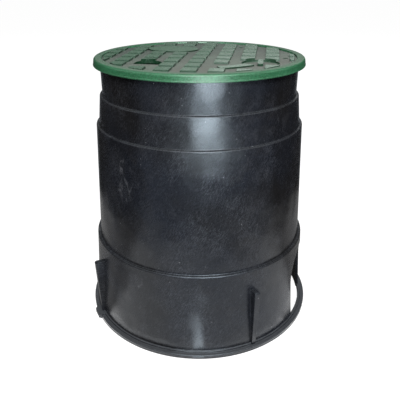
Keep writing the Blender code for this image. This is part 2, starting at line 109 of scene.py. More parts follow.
# Finger hole, lift bar in its dish, vents, and the plain panels
FINGER_X, FINGER_Y = -33.9, -34.7
FINGER_WIDTH, FINGER_LENGTH = 20.6, 17.4
DISH_X, DISH_Y, DISH_R = 50.3, -26.2, 15.0
DISH_DEPTH, DISH_FLOOR, DISH_INSET, DISH_FILLET = 1.3, 2.0, 0.65, 0.5
BAR_WIDTH, BAR_LENGTH, BAR_RISE, BAR_ROUND = 4.0, 19.0, 1.2, 0.5
VENTS = ((69.3, -1.5), (30.6, 54.0))
VENT_R = 1.9
OVAL_X, OVAL_Y, OVAL_WIDTH, OVAL_LENGTH = -27.5, 32.5, 44.0, 32.0
ARC_R, ARC_WIDTH = 57.0, 8.0
ARC_START, ARC_END = math.radians(-68.0), math.radians(-37.0)
PANEL_HEIGHT, PANEL_ROUND = 1.0, 0.3
PANEL_CLEARANCE = 4.5

# Ribs under the lid, across its whole width
LID_RIB_COUNT, LID_RIB_FIRST, LID_RIB_STEP = 4, 28.0, 45.0
LID_RIB_THICKNESS, LID_RIB_DEPTH, LID_RIB_ROUND = 2.0, 6.0, 0.3
RIB_SINK = 1.1

# How finely shapes are divided, how far joined ones sink in, which edges count as sharp, and the
# most sides that a hole left by the cuts may have to be closed
ROUND_STEPS = 288
DISH_STEPS = 96
OVERLAP = 0.8
BEVEL_ANGLE = math.radians(25.0)
CREASE_ANGLE = math.radians(34.0)
LARGEST_HOLE = 8

# Plastic: its index of refraction, then in metres the radius at which streaks are laid out, the
# heights between which the dust thins out, and the radii between which the tread's dust ends
PLASTIC_IOR = 1.5
STREAK_R = 0.09
DUSTY_Z, CLEAN_Z = 0.006, 0.012
TREAD_DUST_R, BORDER_DUST_R = 0.0772, 0.0786

# Scuffs on the body: azimuth in degrees, radius, height and reach
SCUFFS = (
    (-117.0, 88.0, 157.0, 13.0),
    (-112.0, 89.0, 137.0, 13.0),
    (-104.0, 96.0, 61.0, 8.0),
    (-40.6, 88.0, 152.0, 10.0),
)

# Camera in metres, fitted to the outline and the ring lines of the photograph
CAMERA_AZIMUTH = math.radians(18.0)
CAMERA_DISTANCE = 0.3975
CAMERA_HEIGHT = 0.2868
CAMERA_PITCH = math.radians(25.69)
CAMERA_LENS = 42.41
CAMERA_SHIFT = 0.00175

# Colours and strengths of the studio
WHITE = (1.0, 1.0, 1.0)
SKY = (0.90, 0.97, 1.0)
PANE = (0.86, 0.96, 1.0)
WORLD_LIGHT = 0.20
FLOOR_GREY = 0.42
FLOOR_SHADOW_GREY = 0.26
FLOOR_GLOW = 0.93
FLOOR_SIZE = 20000.0

# Cards that only gloss sees: the window, the walls of the room, the ground, and a painted shade on the
# ground inside the body. Azimuths in degrees from the camera's side, then the lower and the upper ring
# as radius and height, strength and colour
CARDS = (
    ("dark_surround", (0.0, 360.0), (300.0, 0.5), (300.0, 265.0), 0.03, WHITE),
    # A painted shade: a dark sheet for the shaded ground inside the body, which only gloss sees
    ("painted_shade_inside", (0.0, 360.0), (0.5, 0.3), (104.0, 0.3), 0.03, WHITE),
    ("dim_ground", (78.0, 298.0), (104.0, 0.8), (299.0, 0.8), 0.33, WHITE),
    ("dim_back", (95.0, 265.0), (300.0, 265.0), (300.0, 900.0), 0.12, WHITE),
    ("back_glow", (138.0, 222.0), (297.0, 1.0), (297.0, 215.0), 0.30, (0.90, 0.96, 1.05)),
    ("back_window", (188.0, 208.0), (292.0, 90.0), (292.0, 215.0), 3.0, SKY),
    ("back_left", (190.0, 206.0), (299.0, 318.0), (299.0, 460.0), 0.35, WHITE),
    ("back_middle", (176.0, 190.0), (299.0, 316.0), (299.0, 460.0), 1.0, WHITE),
    ("back_right", (140.0, 176.0), (299.0, 303.0), (299.0, 460.0), 1.8, WHITE),
    ("front_glow", (-55.0, 65.0), (296.0, 1.0), (296.0, 215.0), 0.42, (0.83, 0.93, 1.14)),
    ("front_window", (-5.0, 18.0), (290.0, 118.5), (290.0, 240.0), 22.0, PANE),
    ("wide_window", (-22.0, 36.0), (288.0, 127.0), (288.0, 158.0), 3.0, PANE),
    ("high_window", (0.0, 360.0), (420.0, 400.0), (260.0, 600.0), 1.7, SKY),
    ("high_middle", (-26.0, 38.0), (410.0, 390.0), (250.0, 590.0), 11.0, SKY),
    ("flange_glint", (-60.0, 55.0), (104.6, 0.85), (109.5, 0.85), 2.6, WHITE),
    ("foot_glint", (-3.2, 2.0), (105.0, 0.9), (168.0, 0.9), 7.0, SKY),
)
CARD_STEP = 5.0

# The shade on the ground inside the body: narrower where a view through an opening reaches it
SHADE_COLOUR, SHADE_ROUGHNESS = (0.30, 0.29, 0.28), 0.9
SHADE_Z = 0.15
SHADE_R, SHADE_OPENING_R = 97.5, 91.0
SHADE_STEP = 2.0
OPENING_START, OPENING_END, FAR_OPENING = -16.0, 32.0, 164.0

# Softboxes: name, azimuth in degrees from the camera's side, distance, height and size in metres,
# and power in watts
LAMPS = (
    ("key", 5.0, 1.15, 1.0, (0.5, 0.5), 22.5),
    ("left_fill", -75.0, 1.3, 0.9, (0.8, 1.0), 1.0),
    ("right_fill", 80.0, 1.3, 0.8, (0.7, 1.0), 1.8),
    ("back_top", 180.0, 1.2, 1.3, (1.2, 0.8), 6.0),
)
LAMP_TARGET = (0.0, 0.0, 0.12)


def arc(cx, cy, radius, start, end, steps):
    """Points on an arc given in degrees, both ends included."""
    points = []
    for i in range(steps + 1):
        a = math.radians(start + (end - start) * i / steps)
        points.append((cx + radius * math.cos(a), cy + radius * math.sin(a)))
    return points


def circle(cx, cy, radius, count=72):
    """Points on a whole circle."""
    return arc(cx, cy, radius, 0.0, 360.0 - 360.0 / count, count - 1)


def rectangle(cx, cy, width, length):
    """The corners of a rectangle about a centre."""
    x, y = width / 2, length / 2
    return [(cx - x, cy - y), (cx + x, cy - y), (cx + x, cy + y), (cx - x, cy + y)]


def turn_about_z(azimuth):
    return Matrix.Rotation(math.radians(azimuth), 4, "Z")


def link(name, shape, matrix=None):
    """A bmesh in millimetres as an object in metres."""
    if matrix is not None:
        bmesh.ops.transform(shape, matrix=matrix, verts=shape.verts)
    bmesh.ops.scale(shape, vec=(MM, MM, MM), verts=shape.verts)
    bmesh.ops.recalc_face_normals(shape, faces=shape.faces)
    mesh = bpy.data.meshes.new(name)
    shape.to_mesh(mesh)
    shape.free()
    obj = bpy.data.objects.new(name, mesh)
    bpy.context.scene.collection.objects.link(obj)
    return obj


def turned(name, profile, closed, steps=ROUND_STEPS, phase=0.0):
    """A section of (radius, height) points turned about Z. An open one starts and ends on the axis."""
    shape = bmesh.new()
    rings = []
    for radius, height in profile:
        if radius < 1e-6:
            rings.append([shape.verts.new((0.0, 0.0, height))] * steps)
            continue
        ring = []
        for i in range(steps):
            a = math.tau * (i + phase) / steps
            ring.append(shape.verts.new((radius * math.cos(a), radius * math.sin(a), height)))
        rings.append(ring)
    count = len(rings)
    for k in range(count if closed else count - 1):
        lower = rings[k]
        upper = rings[(k + 1) % count]
        for i in range(steps):
            j = (i + 1) % steps
            corners = []
            for vert in (lower[i], lower[j], upper[j], upper[i]):
                if vert not in corners:
                    corners.append(vert)
            if len(corners) > 2:
                shape.faces.new(corners)
    return link(name, shape)


def round_edges(shape, edges, radius, segments):
    """Rounds those of the edges that are sharp."""
    sharp = [edge for edge in edges if abs(edge.calc_face_angle(0.0)) > BEVEL_ANGLE]
    bmesh.ops.bevel(shape, geom=sharp, offset=radius, segments=segments, affect="EDGES", profile=0.5)


def add_slab(shape, outline, bottom, top, rounding=0.0, segments=3, slope=0.0):
    """A flat outline with a thickness along Z, its top edge sloped in and all its edges rounded."""
    cx = sum(x for x, y in outline) / len(outline)
    cy = sum(y for x, y in outline) / len(outline)
    lower = [shape.verts.new((x, y, bottom)) for x, y in outline]
    upper = []
    for x, y in outline:
        away = Vector((x - cx, y - cy))
        if slope:
            inset_x = away.x - math.copysign(slope, away.x)
            inset_y = away.y - math.copysign(slope, away.y)
            away = Vector((inset_x, inset_y))
        upper.append(shape.verts.new((cx + away.x, cy + away.y, top)))
    faces = [shape.faces.new(lower), shape.faces.new(upper)]
    for i in range(len(outline)):
        j = (i + 1) % len(outline)
        faces.append(shape.faces.new((lower[i], lower[j], upper[j], upper[i])))
    if rounding:
        round_edges(shape, {edge for face in faces for edge in face.edges}, rounding, segments)


def slab(name, outline, bottom, top, matrix=None, rounding=0.0):
    """One slab as an object of its own."""
    shape = bmesh.new()
    add_slab(shape, outline, bottom, top, rounding)
    return link(name, shape, matrix)


def combine(obj, operation, *tools):
    """Cuts or joins tools, and keeps only the result."""
    for tool in tools:
        boolean = obj.modifiers.new(tool.name, "BOOLEAN")
        boolean.operation = operation
        boolean.solver = "EXACT"
        boolean.object = tool
    graph = bpy.context.evaluated_depsgraph_get()
    mesh = bpy.data.meshes.new_from_object(obj.evaluated_get(graph))
    obj.modifiers.clear()
    obj.data = mesh
    for tool in tools:
        bpy.data.objects.remove(tool, do_unlink=True)


def finish_shape(obj, material):
    """A closed, valid mesh with smooth shading, sharp creases and normals that follow large faces."""
    mesh = obj.data
    mesh.validate()
    shape = bmesh.new()
    shape.from_mesh(mesh)
    open_edges = [edge for edge in shape.edges if edge.is_boundary]
    bmesh.ops.holes_fill(shape, edges=open_edges, sides=LARGEST_HOLE)
    shape.to_mesh(mesh)
    shape.free()
    mesh.materials.clear()
    mesh.materials.append(material)
    mesh.shade_smooth()
    mesh.set_sharp_from_angle(angle=CREASE_ANGLE)
    weighted = obj.modifiers.new("face weighted normals", "WEIGHTED_NORMAL")
    weighted.keep_sharp = True
    weighted.weight = 60


def skirt_r(height):
    """The skirt's outer radius at a height."""
    return SKIRT_FOOT_R - (SKIRT_FOOT_R - SKIRT_TOP_R) * height / SKIRT_TOP_Z


def edge_round(r, z, radius, start, end, steps):
    """An arc that rounds off the corner at (r, z), with its centre below it and nearer to the axis."""
    return arc(r - radius, z - radius, radius, start, end, steps)


def root_fillet(r, z, radius, steps):
    """The hollow between a wall at r and the level face below it at z."""
    return arc(r + radius, z + radius, radius, 180.0, 270.0, steps)


def ledge(inner, outer, height):
    """A fillet at the root of a ledge, the ledge, and its rounded outer edge."""
    root = root_fillet(inner, height, LEDGE_FILLET, 4)
    return root + edge_round(outer, height, LEDGE_ROUND, 90.0, 0.0, 6)


def body_profile():
    """The body's section: down the outside with every ledge rounded, then up the inside."""
    outside = edge_round(NECK_R, NECK_TOP_Z, MOUTH_ROUND, 90.0, 0.0, 4)
    outside += ledge(NECK_R, BAND_TOP_R, BAND_TOP_Z)
    outside += ledge(BAND_FOOT_R, BARREL_TOP_R, BARREL_TOP_Z)
    outside += ledge(BARREL_FOOT_R, SKIRT_TOP_R, SKIRT_TOP_Z)
    outside += root_fillet(skirt_r(BEAD_TOP), BEAD_TOP, BEAD_FILLET, 3)
    outside += edge_round(BEAD_R, BEAD_TOP, BEAD_ROUND, 90.0, 0.0, 5)
    outside += root_fillet(BEAD_R, FLANGE_TOP, FLANGE_FILLET, 3)
    outside += edge_round(FLANGE_R, FLANGE_TOP, FLANGE_ROUND, 90.0, 0.0, 5)
    outside += arc(FLANGE_R - FLANGE_FOOT_ROUND, FLANGE_FOOT_ROUND, FLANGE_FOOT_ROUND, 0.0, -90.0, 3)
    inside = [(SKIRT_FOOT_R - FOOT_CHAMFER, 0.0), (skirt_r(FOOT_CHAMFER_TOP) - WALL, FOOT_CHAMFER_TOP)]
    for lower, upper, height in (
        (SKIRT_TOP_R, BARREL_FOOT_R, SKIRT_TOP_Z),
        (BARREL_TOP_R, BAND_FOOT_R, BARREL_TOP_Z),
        (BAND_TOP_R, NECK_R, BAND_TOP_Z),
    ):
        z = height - WALL
        inside += edge_round(lower - WALL, z, INSIDE_FILLET, 0.0, 90.0, 4)
        inside += arc(upper - WALL + INSIDE_ROUND, z + INSIDE_ROUND, INSIDE_ROUND, 270.0, 180.0, 3)
    mouth_r = NECK_R - WALL
    inside += arc(mouth_r + INSIDE_ROUND, NECK_TOP_Z - INSIDE_ROUND, INSIDE_ROUND, 180.0, 90.0, 3)
    return outside + inside


def make_rib(name, azimuth):
    """A rib with its root sunk in the wall, thinner and nearer to the wall at its foot."""
    foot = FLANGE_TOP / 2
    outline = [
        (skirt_r(foot) - WALL / 2, foot),
        (RIB_FOOT_R, foot),
        (RIB_TOP_R, RIB_TOP - RIB_CHAMFER),
        (RIB_TOP_R - RIB_CHAMFER, RIB_TOP),
        (skirt_r(RIB_TOP) - WALL / 2, RIB_TOP),
    ]
    shape = bmesh.new()
    sides = []
    for side in (-0.5, 0.5):
        corners = []
        for radius, height in outline:
            thick = RIB_FOOT_THICKNESS + (RIB_TOP_THICKNESS - RIB_FOOT_THICKNESS) * height / RIB_TOP
            corners.append(shape.verts.new((radius, side * thick, height)))
        sides.append(corners)
        shape.faces.new(corners)
    for i in range(len(outline)):
        shape.faces.new((sides[0][i], sides[0][i - 1], sides[1][i - 1], sides[1][i]))
    round_edges(shape, shape.edges, RIB_ROUND, 3)
    return link(name, shape, turn_about_z(azimuth))


def make_lug(name, azimuth):
    """A lug on the flange, with its outer corners cut off."""
    inner = SKIRT_FOOT_R - WALL / 2
    outer = FLANGE_R + LUG_REACH
    side = LUG_WIDTH / 2
    cut = side - LUG_REACH
    left = [(inner, -side), (FLANGE_R, -side), (outer, -cut)]
    right = [(outer, cut), (FLANGE_R, side), (inner, side)]
    return slab(name, left + right, LUG_FOOT, LUG_TOP, turn_about_z(azimuth), LUG_ROUND)


def pipe_openings():
    """What the two arches cut away: all that lies above the foot ring, and only inside it below."""
    half = ARCH_WIDTH / 2
    foot = ARCH_FOOT_WIDTH / 2
    outline = [(-foot, 0.0), (-foot, ARCH_FOOT), (foot, ARCH_FOOT), (foot, 0.0)]
    outline += arc(0.0, ARCH_HEIGHT - half, half, 0.0, 180.0, 48)
    upright = turn_about_z(90.0) @ Matrix.Rotation(math.radians(90.0), 4, "X")
    openings = slab("openings", outline, -CUT_R, CUT_R, upright)
    limit = [(0.0, CUT_TOP), (CUT_R, CUT_TOP), (CUT_R, BEAD_TOP)]
    limit += [(RING_INNER_R, BEAD_TOP), (RING_INNER_R, CUT_FOOT), (0.0, CUT_FOOT)]
    combine(openings, "INTERSECT", turned("limit", limit, False, phase=0.5))
    return openings


def make_body(material):
    """The black body as one moulding, with the ribs, lugs and pipe openings."""
    body = turned("inspection_body", body_profile(), True)
    combine(body, "DIFFERENCE", pipe_openings())
    combine(body, "UNION", *[make_rib(f"rib_{i}", a) for i, a in enumerate(RIB_AZIMUTHS)])
    combine(body, "UNION", *[make_lug(f"lug_{i}", a) for i, a in enumerate(LUG_AZIMUTHS)])
    finish_shape(body, material)
    return body


def lid_profile():
    """Half the lid's section: the tread's floor, over the raised border, down the rim, the underside."""
    rim = LID_R + RIM_FLARE
    lip = rim + LIP_REACH
    outer = NECK_R - WALL - CENTRING_GAP
    inner = outer - CENTRING_WALL
    foot = CENTRING_FOOT
    tapered = outer - CENTRING_TAPER
    return (
        [(0.0, FLOOR_TOP), (FLOOR_RING_R, FLOOR_TOP)]
        + arc(FLOOR_R - BORDER_SLANT, FLOOR_TOP + BORDER_FILLET, BORDER_FILLET, 270.0, 340.0, 3)
        + arc(FLOOR_R + BORDER_ROUND, LID_TOP - BORDER_ROUND, BORDER_ROUND, 170.0, 90.0, 3)
        + edge_round(LID_R, LID_TOP, LID_EDGE_ROUND, 90.0, 4.0, 10)
        + [(rim, RIM_FOOT + LIP_TOP)]
        + arc(lip - LIP_CREST_ROUND, RIM_FOOT + LIP_CREST, LIP_CREST_ROUND, 60.0, 0.0, 2)
        + arc(lip - LIP_ROUND, RIM_FOOT + LIP_ROUND, LIP_ROUND, 0.0, -90.0, 3)
        + [(LID_R - RIM_WALL, RIM_FOOT)]
        + edge_round(LID_R - RIM_WALL, PLATE_FOOT, PLATE_FILLET, 0.0, 90.0, 3)
        + arc(outer + PLATE_FILLET, PLATE_FOOT - PLATE_FILLET, PLATE_FILLET, 90.0, 180.0, 3)
        + [(tapered, foot + CENTRING_CHAMFER), (tapered - CENTRING_CHAMFER, foot)]
        + [(inner + CENTRING_INNER_CHAMFER, foot), (inner, foot + CENTRING_INNER_CHAMFER)]
        + edge_round(inner, PLATE_FOOT, PLATE_INNER_FILLET, 0.0, 90.0, 3)
        + [(0.0, PLATE_FOOT)]
    )


def pad_is_clear(x, y):
    """Whether the tread has a pad here: none stands in the finger hole, the dish or a panel."""
    near = FINGER_Y - (FINGER_LENGTH + PAD_LENGTH) / 2
    far = FINGER_Y + (FINGER_LENGTH - PAD_LENGTH) / 2
    if abs(x - FINGER_X) < FINGER_WIDTH / 2 and near < y < far:
        return False
    if math.hypot(x - DISH_X, y - DISH_Y) < DISH_R:
        return False
    across = (x - OVAL_X) / (OVAL_WIDTH / 2 + PANEL_CLEARANCE)
    along = (y - OVAL_Y) / (OVAL_LENGTH / 2 + PANEL_CLEARANCE)
    if math.hypot(across, along) < 1.0:
        return False
    off_arc = abs(math.hypot(x, y) - ARC_R) - ARC_WIDTH / 2
    spread = PANEL_CLEARANCE / ARC_R
    beside_arc = ARC_START - spread < math.atan2(y, x) < ARC_END + spread
    return not (beside_arc and off_arc < PANEL_CLEARANCE)


def pad_centres():
    """Where pads stand: those that lie mostly inside the tread's circle and on free ground."""
    centres = []
    for column in PAD_NUMBERS:
        for row in PAD_NUMBERS:
            x = COLUMN_OFFSET + column * COLUMN_PITCH
            y = ROW_OFFSET + row * ROW_PITCH
            near_x = max(abs(x) - PAD_WIDTH / 2 + SMALLEST_PAD, 0.0)
            near_y = max(abs(y) - PAD_LENGTH / 2 + SMALLEST_PAD, 0.0)
            if math.hypot(near_x, near_y) < TREAD_R and pad_is_clear(x, y):
                centres.append((x, y))
    return centres


def clipped_pad(x, y):
    """A pad's outline, its corners clipped to the tread's circle."""
    outline = rectangle(x, y, PAD_WIDTH, PAD_LENGTH)
    if max(math.hypot(*point) for point in outline) <= TREAD_R:
        return outline
    dense = []
    for (ax, ay), (bx, by) in zip(outline, outline[1:] + outline[:1]):
        for k in range(PAD_SIDE_STEPS):
            px = ax + (bx - ax) * k / PAD_SIDE_STEPS
            py = ay + (by - ay) * k / PAD_SIDE_STEPS
            if k == 0 or math.hypot(px, py) > TREAD_R:
                dense.append((px, py))
    clipped = []
    for px, py in dense:
        reach = math.hypot(px, py)
        if reach > TREAD_R:
            # A point outside moves in onto the circle, and is left out where that is off the pad
            px, py = px * TREAD_R / reach, py * TREAD_R / reach
            if abs(px - x) > PAD_WIDTH / 2 or abs(py - y) > PAD_LENGTH / 2:
                continue
        clipped.append((px, py))
    return clipped


def tread_and_panels():
    """The pads, the bare oval and the bare arc, sunk a little into the plate."""
    base = FLOOR_TOP - OVERLAP
    shape = bmesh.new()
    for x, y in pad_centres():
        add_slab(shape, clipped_pad(x, y), base, LID_TOP, PAD_ROUND, 2, PAD_SLOPE)
    pads = link("pads", shape)
    oval = []
    for x, y in circle(0.0, 0.0, OVAL_WIDTH / 2):
        oval.append((OVAL_X + x, OVAL_Y + y * OVAL_LENGTH / OVAL_WIDTH))
    start, end = math.degrees(ARC_START), math.degrees(ARC_END)
    band = arc(0.0, 0.0, ARC_R + ARC_WIDTH / 2, start, end, 24)
    band += arc(0.0, 0.0, ARC_R - ARC_WIDTH / 2, end, start, 24)
    panel_top = FLOOR_TOP + PANEL_HEIGHT
    return [
        pads,
        slab("oval", oval, base, panel_top),
        slab("arc", band, base, panel_top, rounding=PANEL_ROUND),
    ]


def ribs_and_pan(dish_floor):
    """The ribs under the plate, and the pan that closes the dish from below."""
    reach = NECK_R - WALL - CENTRING_GAP - RIB_SINK
    outline = rectangle(0.0, 0.0, 2 * reach, LID_RIB_THICKNESS)
    bottom = PLATE_FOOT - LID_RIB_DEPTH
    top = PLATE_FOOT + OVERLAP
    tools = []
    for i in range(LID_RIB_COUNT):
        turn = turn_about_z(LID_RIB_FIRST + LID_RIB_STEP * i)
        tools.append(slab(f"under_{i}", outline, bottom, top, turn, LID_RIB_ROUND))
    pan = circle(DISH_X, DISH_Y, DISH_R + DISH_FLOOR)
    tools.append(slab("pan", pan, dish_floor - DISH_FLOOR, top))
    return tools


def lid_cuts(dish_floor):
    """The dish, the finger hole and the vents."""
    inset = DISH_R - DISH_INSET - DISH_FILLET
    profile = [(0.0, dish_floor)]
    profile += arc(inset, dish_floor + DISH_FILLET, DISH_FILLET, 270.0, 320.0, 3)
    profile += [(DISH_R, DISH_CUT_TOP), (0.0, DISH_CUT_TOP)]
    dish = turned("dish", profile, False, steps=DISH_STEPS)
    dish.data.transform(Matrix.Translation((DISH_X * MM, DISH_Y * MM, 0.0)))
    finger_r = FINGER_WIDTH / 2
    near = FINGER_Y - FINGER_LENGTH / 2
    finger = [(FINGER_X - finger_r, near), (FINGER_X + finger_r, near)]
    finger += arc(FINGER_X, FINGER_Y + FINGER_LENGTH / 2 - finger_r, finger_r, 0.0, 180.0, 32)
    cuts = [dish, slab("finger", finger, LID_CUT_FOOT, LID_CUT_TOP)]
    for i, (x, y) in enumerate(VENTS):
        cuts.append(slab(f"vent_{i}", circle(x, y, VENT_R, 36), LID_CUT_FOOT, LID_CUT_TOP))
    return cuts


def make_lid(material):
    """The green lid: rimmed plate, tread, panels, lift bar in its dish, finger hole and ribs below."""
    lid = turned("access_lid", lid_profile(), False)
    dish_floor = FLOOR_TOP - DISH_DEPTH
    combine(lid, "UNION", *tread_and_panels(), *ribs_and_pan(dish_floor))
    combine(lid, "DIFFERENCE", *lid_cuts(dish_floor))
    bar = rectangle(DISH_X, DISH_Y, BAR_WIDTH, BAR_LENGTH)
    bar_top = FLOOR_TOP + BAR_RISE
    combine(lid, "UNION", slab("bar", bar, dish_floor - OVERLAP, bar_top, rounding=BAR_ROUND))
    lift = Matrix.Translation((0.0, 0.0, NECK_TOP_Z * MM))
    lid.data.transform(lift @ Matrix.Rotation(LID_TURN, 4, "Z"))
    finish_shape(lid, material)
    return lid


class Nodes:
    """A short way to write a material's node tree. Places and distances in it are in metres."""

    def __init__(self, name):
        self.material = bpy.data.materials.new(name)
        self.material.use_nodes = True
        self.tree = self.material.node_tree
        self.shader = self.tree.nodes["Principled BSDF"]
        self.place = self.tree.nodes.new("ShaderNodeTexCoord").outputs["Object"]

    def add(self, kind, **settings):
        node = self.tree.nodes.new(kind)
        for name, value in settings.items():
            setattr(node, name, value)
        return node

    def feed(self, socket, value):
        if isinstance(value, bpy.types.NodeSocket):
            self.tree.links.new(value, socket)
        elif isinstance(value, (tuple, list)) and len(value) == 3 and socket.type == "RGBA":
            socket.default_value = (*value, 1.0)
        else:
            socket.default_value = value

    def calculate(self, operation, a, b=0.0):
        node = self.add("ShaderNodeMath", operation=operation)
        self.feed(node.inputs[0], a)
        self.feed(node.inputs[1], b)
        return node.outputs[0]

    def plus(self, a, b):
        return self.calculate("ADD", a, b)

    def times(self, a, b):
        return self.calculate("MULTIPLY", a, b)

    def mapped(self, value, low, high, to_low=0.0, to_high=1.0, smooth=True):
        """A value between low and high, mapped to between to_low and to_high."""
        node = self.add("ShaderNodeMapRange", interpolation_type="SMOOTHSTEP" if smooth else "LINEAR")
        for socket, number in zip(node.inputs, (value, low, high, to_low, to_high)):
            self.feed(socket, number)
        return node.outputs[0]

    def noise(self, vector, scale, detail, roughness, distortion=0.0):
        node = self.add("ShaderNodeTexNoise")
        self.feed(node.inputs["Vector"], vector)
        self.feed(node.inputs["Scale"], scale)
        self.feed(node.inputs["Detail"], detail)
        self.feed(node.inputs["Roughness"], roughness)
        self.feed(node.inputs["Distortion"], distortion)
        return node.outputs[0]

    def mix(self, factor, a, b):
        node = self.add("ShaderNodeMix", data_type="RGBA")
        self.feed(node.inputs[0], factor)
        self.feed(node.inputs[6], a)
        self.feed(node.inputs[7], b)
        return node.outputs[2]

    def split(self, vector):
        node = self.add("ShaderNodeSeparateXYZ")
        self.feed(node.inputs[0], vector)
        return node.outputs

    def facing_up(self):
        """The height of the surface's own normal: 1 on level ground and 0 on a wall."""
        return self.split(self.add("ShaderNodeNewGeometry").outputs["Normal"])["Z"]

    def distance(self, point):
        node = self.add("ShaderNodeVectorMath", operation="DISTANCE")
        self.feed(node.inputs[0], self.place)
        node.inputs[1].default_value = point
        return node.outputs["Value"]

    def stretched(self, scale):
        node = self.add("ShaderNodeMapping")
        self.feed(node.inputs["Vector"], self.place)
        node.inputs["Scale"].default_value = scale
        return node.outputs[0]

    def helical(self, twist, pitch):
        """Coordinates in which noise runs in long streaks that climb round the body."""
        x, y, z = self.split(self.place)
        angle = self.plus(self.calculate("ARCTAN2", y, x), self.times(z, twist))
        joined = self.add("ShaderNodeCombineXYZ")
        self.feed(joined.inputs[0], self.times(self.calculate("COSINE", angle), STREAK_R))
        self.feed(joined.inputs[1], self.times(self.calculate("SINE", angle), STREAK_R))
        self.feed(joined.inputs[2], self.times(z, pitch))
        return joined.outputs[0]

    def bump(self, height, strength, distance, base):
        node = self.add("ShaderNodeBump")
        node.inputs["Strength"].default_value = strength
        node.inputs["Distance"].default_value = distance
        self.feed(node.inputs["Height"], height)
        self.feed(node.inputs["Normal"], base)
        return node.outputs[0]

    def rounded(self, radius):
        node = self.add("ShaderNodeBevel", samples=4)
        node.inputs["Radius"].default_value = radius
        return node.outputs[0]

    def finish(self, colour, rough, normal, specular):
        self.feed(self.shader.inputs["Base Color"], colour)
        self.feed(self.shader.inputs["Roughness"], rough)
        self.feed(self.shader.inputs["Normal"], normal)
        self.shader.inputs["Specular IOR Level"].default_value = specular
        self.shader.inputs["IOR"].default_value = PLASTIC_IOR
        return self.material


def scuffs(n, grain):
    """Patches of bent scratches, where the body was knocked."""
    near = 0.0
    for azimuth, radius, height, reach in SCUFFS:
        a = math.radians(azimuth)
        point = (radius * MM * math.cos(a), radius * MM * math.sin(a), height * MM)
        inside = n.mapped(n.distance(point), reach * MM * 0.3, reach * MM, 1.0, 0.0)
        near = n.calculate("MAXIMUM", near, inside)
    bent = n.noise(n.stretched((1.0, 1.0, 0.45)), 60.0, 2.0, 0.6, 0.4)
    off_line = n.calculate("ABSOLUTE", n.calculate("SUBTRACT", bent, 0.5))
    lines = n.mapped(off_line, 0.004, 0.018, 1.0, 0.12)
    lines = n.times(lines, n.mapped(grain, 0.35, 0.60, 0.15, 1.0))
    return n.times(near, lines)


def dust_specks(n):
    """Pale specks. Only some cells have one, and they show more in some regions."""
    cells = n.add("ShaderNodeTexVoronoi", feature="F1")
    n.feed(cells.inputs["Vector"], n.place)
    cells.inputs["Scale"].default_value = 300.0
    dots = n.mapped(cells.outputs["Distance"], 0.06, 0.17, 1.0, 0.0)
    lottery = n.add("ShaderNodeSeparateColor")
    n.feed(lottery.inputs[0], cells.outputs["Color"])
    dots = n.times(dots, n.mapped(lottery.outputs[0], 0.74, 0.96))
    return n.times(dots, n.mapped(n.noise(n.place, 20.0, 2.0, 0.5), 0.40, 0.62, 0.15, 0.75))


def black_plastic():
    """Black polyethylene with brown and blue-grey patches, slanting scratches, scuffs and dust."""
    n = Nodes("black_polyethylene")
    broad = n.noise(n.place, 14.0, 3.0, 0.6)
    wavy = n.noise(n.stretched((1.0, 1.0, 0.8)), 38.0, 1.0, 0.5)
    mottled = n.noise(n.place, 55.0, 4.0, 0.65)
    streaks = n.noise(n.helical(-6.5, 0.13), 2600.0, 3.0, 0.7)
    grain = n.noise(n.place, 1100.0, 4.0, 0.75)
    fine = n.noise(n.helical(8.0, 0.08), 3400.0, 2.0, 0.5)

    # Haze of fine scratches, thicker in some regions
    scratched = n.mapped(n.noise(n.stretched((1.0, 1.0, 0.7)), 26.0, 3.0, 0.6), 0.46, 0.68)
    haze = n.times(n.mapped(grain, 0.36, 0.64, 0.2, 1.0), n.mapped(streaks, 0.44, 0.62))
    haze = n.times(haze, n.plus(n.times(scratched, 0.75), 0.25))

    # Blackish brown and blue, lighter mottling, the haze, and dark pores
    colour = n.mix(n.mapped(broad, 0.38, 0.64), (0.0085, 0.0078, 0.0078), (0.0088, 0.0102, 0.0145))
    colour = n.mix(n.times(n.mapped(mottled, 0.5, 0.75), 0.5), colour, (0.0135, 0.0112, 0.0100))
    colour = n.mix(n.times(haze, 0.55), colour, (0.085, 0.092, 0.110))
    colour = n.mix(n.mapped(grain, 0.54, 0.34, 0.0, 0.75), colour, (0.0022, 0.0022, 0.0028))

    # Cloudy bloom, scuffs, specks, and dust on level faces, most of it on the foot flange
    cloudy = n.mapped(n.noise(n.place, 42.0, 6.0, 0.72), 0.54, 0.68)
    bloom = n.times(cloudy, n.mapped(grain, 0.3, 0.6))
    colour = n.mix(n.times(bloom, 0.5), colour, (0.040, 0.042, 0.049))
    colour = n.mix(n.times(scuffs(n, grain), 0.55), colour, (0.15, 0.155, 0.17))
    colour = n.mix(dust_specks(n), colour, (0.30, 0.31, 0.33))
    dust = n.times(n.mapped(n.facing_up(), 0.45, 0.95), n.mapped(grain, 0.3, 0.7, 0.55, 1.0))
    dust = n.times(dust, n.mapped(n.split(n.place)["Z"], DUSTY_Z, CLEAN_Z, 1.0, 0.25))
    colour = n.mix(dust, colour, (0.060, 0.063, 0.068))

    rough = n.mapped(streaks, 0.36, 0.66, 0.13, 0.27, smooth=False)
    rough = n.plus(rough, n.mapped(mottled, 0.35, 0.7, -0.02, 0.06))
    rough = n.plus(rough, n.times(haze, 0.14))
    rough = n.plus(rough, n.times(dust, 0.25))

    # The wall is slightly wavy, with fine scratches on top of that
    scratches = n.plus(n.times(streaks, 0.6), n.times(fine, 0.3))
    scratches = n.plus(scratches, n.times(grain, 0.5))
    normal = n.bump(n.plus(wavy, n.times(broad, 0.9)), 0.5, 0.0040, n.rounded(0.0004))
    normal = n.bump(scratches, 0.18, 0.0006, normal)
    n.shader.inputs["Specular Tint"].default_value = (0.85, 0.92, 1.0, 1.0)
    return n.finish(colour, rough, normal, 0.37)


